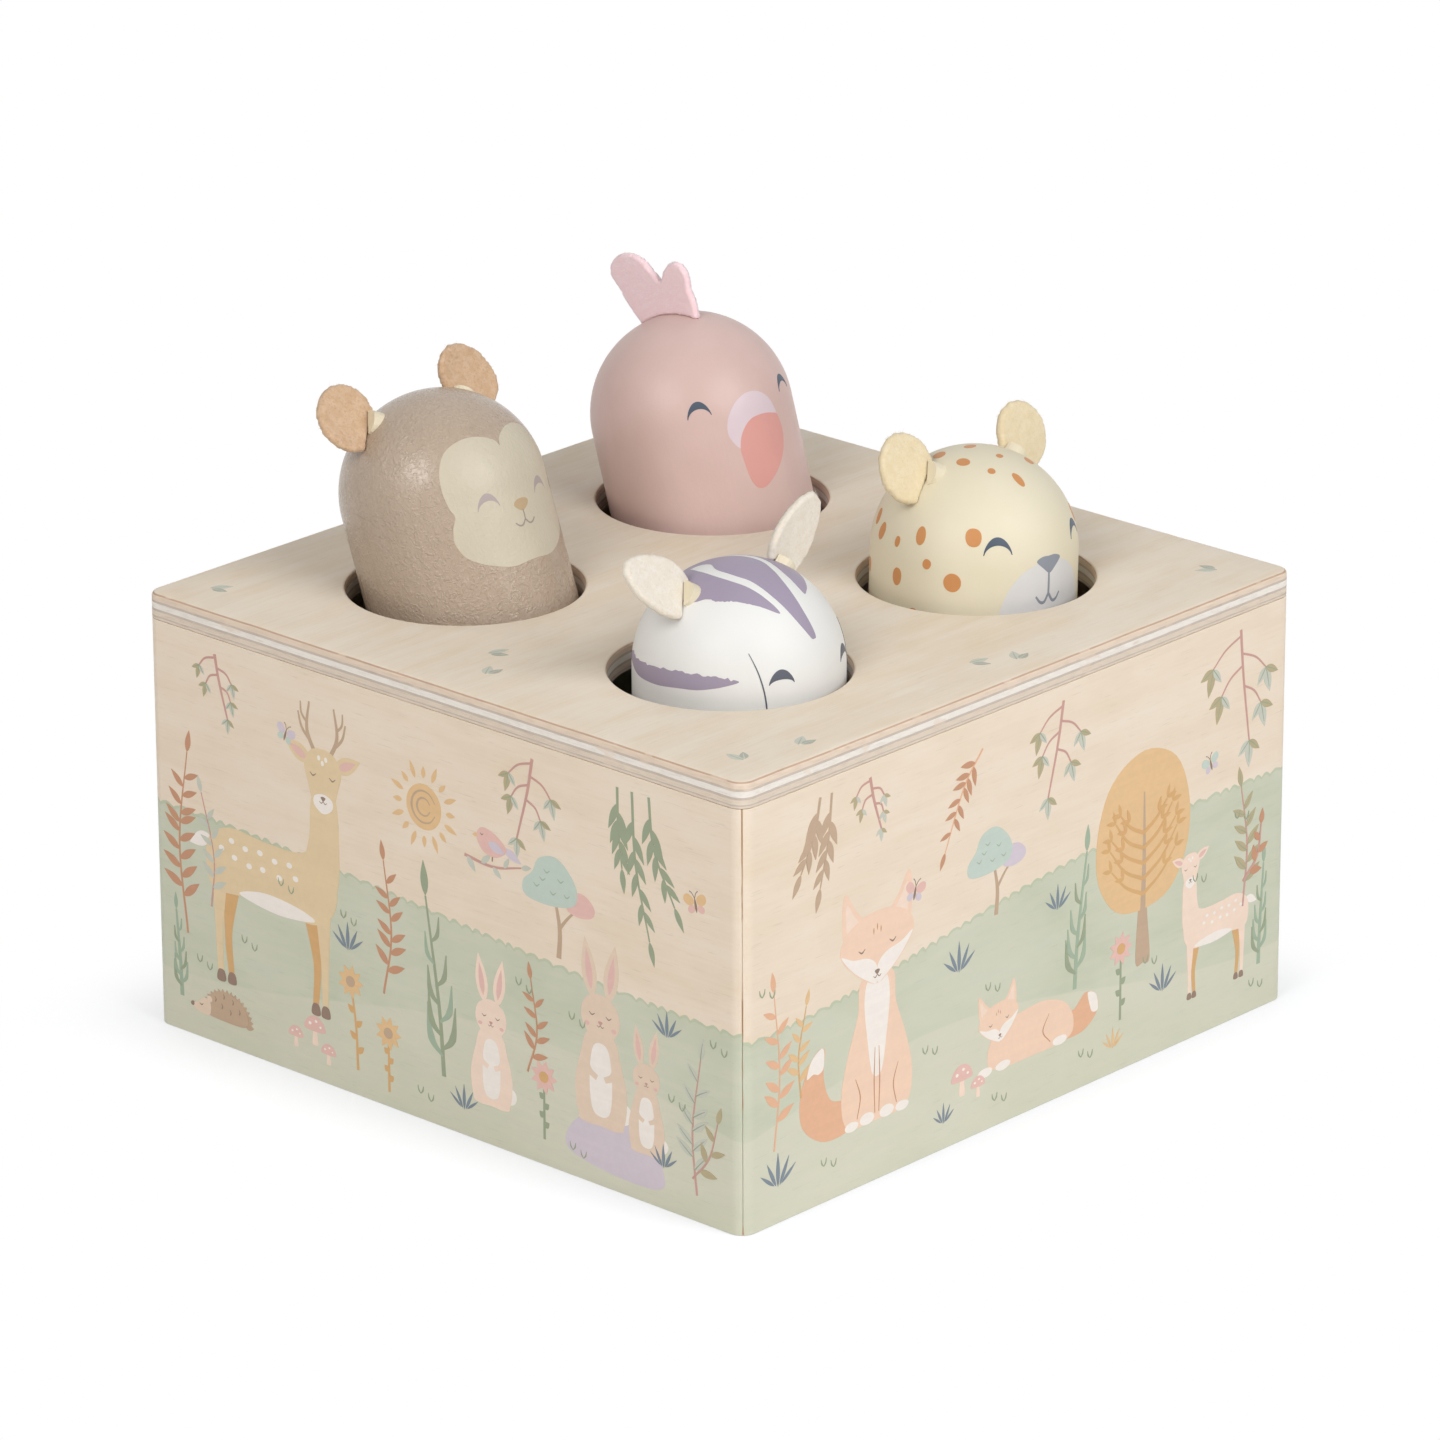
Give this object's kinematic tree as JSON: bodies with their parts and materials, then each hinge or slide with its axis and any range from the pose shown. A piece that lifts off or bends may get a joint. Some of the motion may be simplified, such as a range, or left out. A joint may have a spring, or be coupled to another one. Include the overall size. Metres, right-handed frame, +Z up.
{
  "type": "pop up animal toy",
  "caption": "Plywood box toy with painted turned wooden animals that stand in round holes on coil springs, with felt ears and comb, and press down or wobble.",
  "frame": {"origin": "middle of the footprint, on the underside of the box", "axes": "+X to the right as seen from the front, +Y to the back, +Z up; the animals look toward -Y"},
  "size_m": [0.15, 0.148, 0.1299],
  "materials": {
    "birch_plywood": "matt lacquered birch plywood with printed sides",
    "beech": "plain sanded beech",
    "zinc_steel": "zinc plated",
    "spring_steel": "drawn spring wire",
    "monkey_paint": "satin paint in taupe on turned beech",
    "parrot_paint": "satin paint in dusty pink on turned beech",
    "leopard_paint": "satin paint in cream yellow on turned beech",
    "zebra_paint": "satin paint in off-white on turned beech",
    "monkey_felt": "pressed tan felt",
    "parrot_felt": "pressed pink felt",
    "leopard_felt": "pressed straw felt",
    "zebra_felt": "pressed cream felt"
  },
  "bodies": {
    "box": {"top_board": "birch_plywood", "front_panel": "birch_plywood", "right_panel": "birch_plywood", "back_panel": "birch_plywood", "left_panel": "birch_plywood", "bottom_board": "birch_plywood", "monkey_spring_seat": "beech", "monkey_seat_screw": "zinc_steel", "parrot_spring_seat": "beech", "parrot_seat_screw": "zinc_steel", "leopard_spring_seat": "beech", "leopard_seat_screw": "zinc_steel", "zebra_spring_seat": "beech", "zebra_seat_screw": "zinc_steel"},
    "monkey_stem": {"monkey_spring": "spring_steel"},
    "monkey": {"monkey_peg": "monkey_paint", "monkey_left_ear": "monkey_felt", "monkey_left_ear_plug": "beech", "monkey_right_ear": "monkey_felt", "monkey_right_ear_plug": "beech"},
    "parrot_stem": {"parrot_spring": "spring_steel"},
    "parrot": {"parrot_peg": "parrot_paint", "parrot_comb": "parrot_felt"},
    "leopard_stem": {"leopard_spring": "spring_steel"},
    "leopard": {"leopard_peg": "leopard_paint", "leopard_left_ear": "leopard_felt", "leopard_left_ear_plug": "beech", "leopard_right_ear": "leopard_felt", "leopard_right_ear_plug": "beech"},
    "zebra_stem": {"zebra_spring": "spring_steel"},
    "zebra": {"zebra_peg": "zebra_paint", "zebra_left_ear": "zebra_felt", "zebra_left_ear_plug": "beech", "zebra_right_ear": "zebra_felt", "zebra_right_ear_plug": "beech"}
  },
  "joints": [
    {"name": "monkey_lean", "type": "hinge", "parent": "box", "child": "monkey_stem", "pos_m": [-0.03235, 0.03251, 0.0825], "axis": [1, 0, 0], "range_deg": [0, 34], "stiffness_Nm_per_rad": 0.08, "springref_deg": -2.86},
    {"name": "monkey_press", "type": "slide", "parent": "monkey_stem", "child": "monkey", "axis": [-0.0083, 0.3271, 0.945], "range_m": [-0.029, 0.004], "stiffness_N_per_m": 200, "springref_m": 0.0022, "deforming": ["monkey_spring"]},
    {"name": "parrot_lean", "type": "hinge", "parent": "box", "child": "parrot_stem", "pos_m": [0.03344, 0.03273, 0.0825], "axis": [1, 0, 0], "range_deg": [-3.5, 30], "stiffness_Nm_per_rad": 0.08, "springref_deg": 0.4},
    {"name": "parrot_press", "type": "slide", "parent": "parrot_stem", "child": "parrot", "axis": [-0.0262, 0.2635, 0.9643], "range_m": [-0.032, 0.004], "stiffness_N_per_m": 200, "springref_m": 0.0022, "deforming": ["parrot_spring"]},
    {"name": "leopard_lean", "type": "hinge", "parent": "box", "child": "leopard_stem", "pos_m": [0.03288, -0.03262, 0.0825], "axis": [1, 0, 0], "range_deg": [-10, 10], "stiffness_Nm_per_rad": 0.08},
    {"name": "leopard_press", "type": "slide", "parent": "leopard_stem", "child": "leopard", "axis": [0.05, 0.0186, 0.9986], "range_m": [-0.015, 0.004], "stiffness_N_per_m": 200, "springref_m": 0.0017, "deforming": ["leopard_spring"]},
    {"name": "zebra_lean", "type": "hinge", "parent": "box", "child": "zebra_stem", "pos_m": [-0.03221, -0.03408, 0.0825], "axis": [1, 0, 0], "range_deg": [-10, 10], "stiffness_Nm_per_rad": 0.08},
    {"name": "zebra_press", "type": "slide", "parent": "zebra_stem", "child": "zebra", "axis": [0, 0, 1], "range_m": [-0.016, 0.004], "stiffness_N_per_m": 200, "springref_m": 0.0017, "deforming": ["zebra_spring"]}
  ]
}
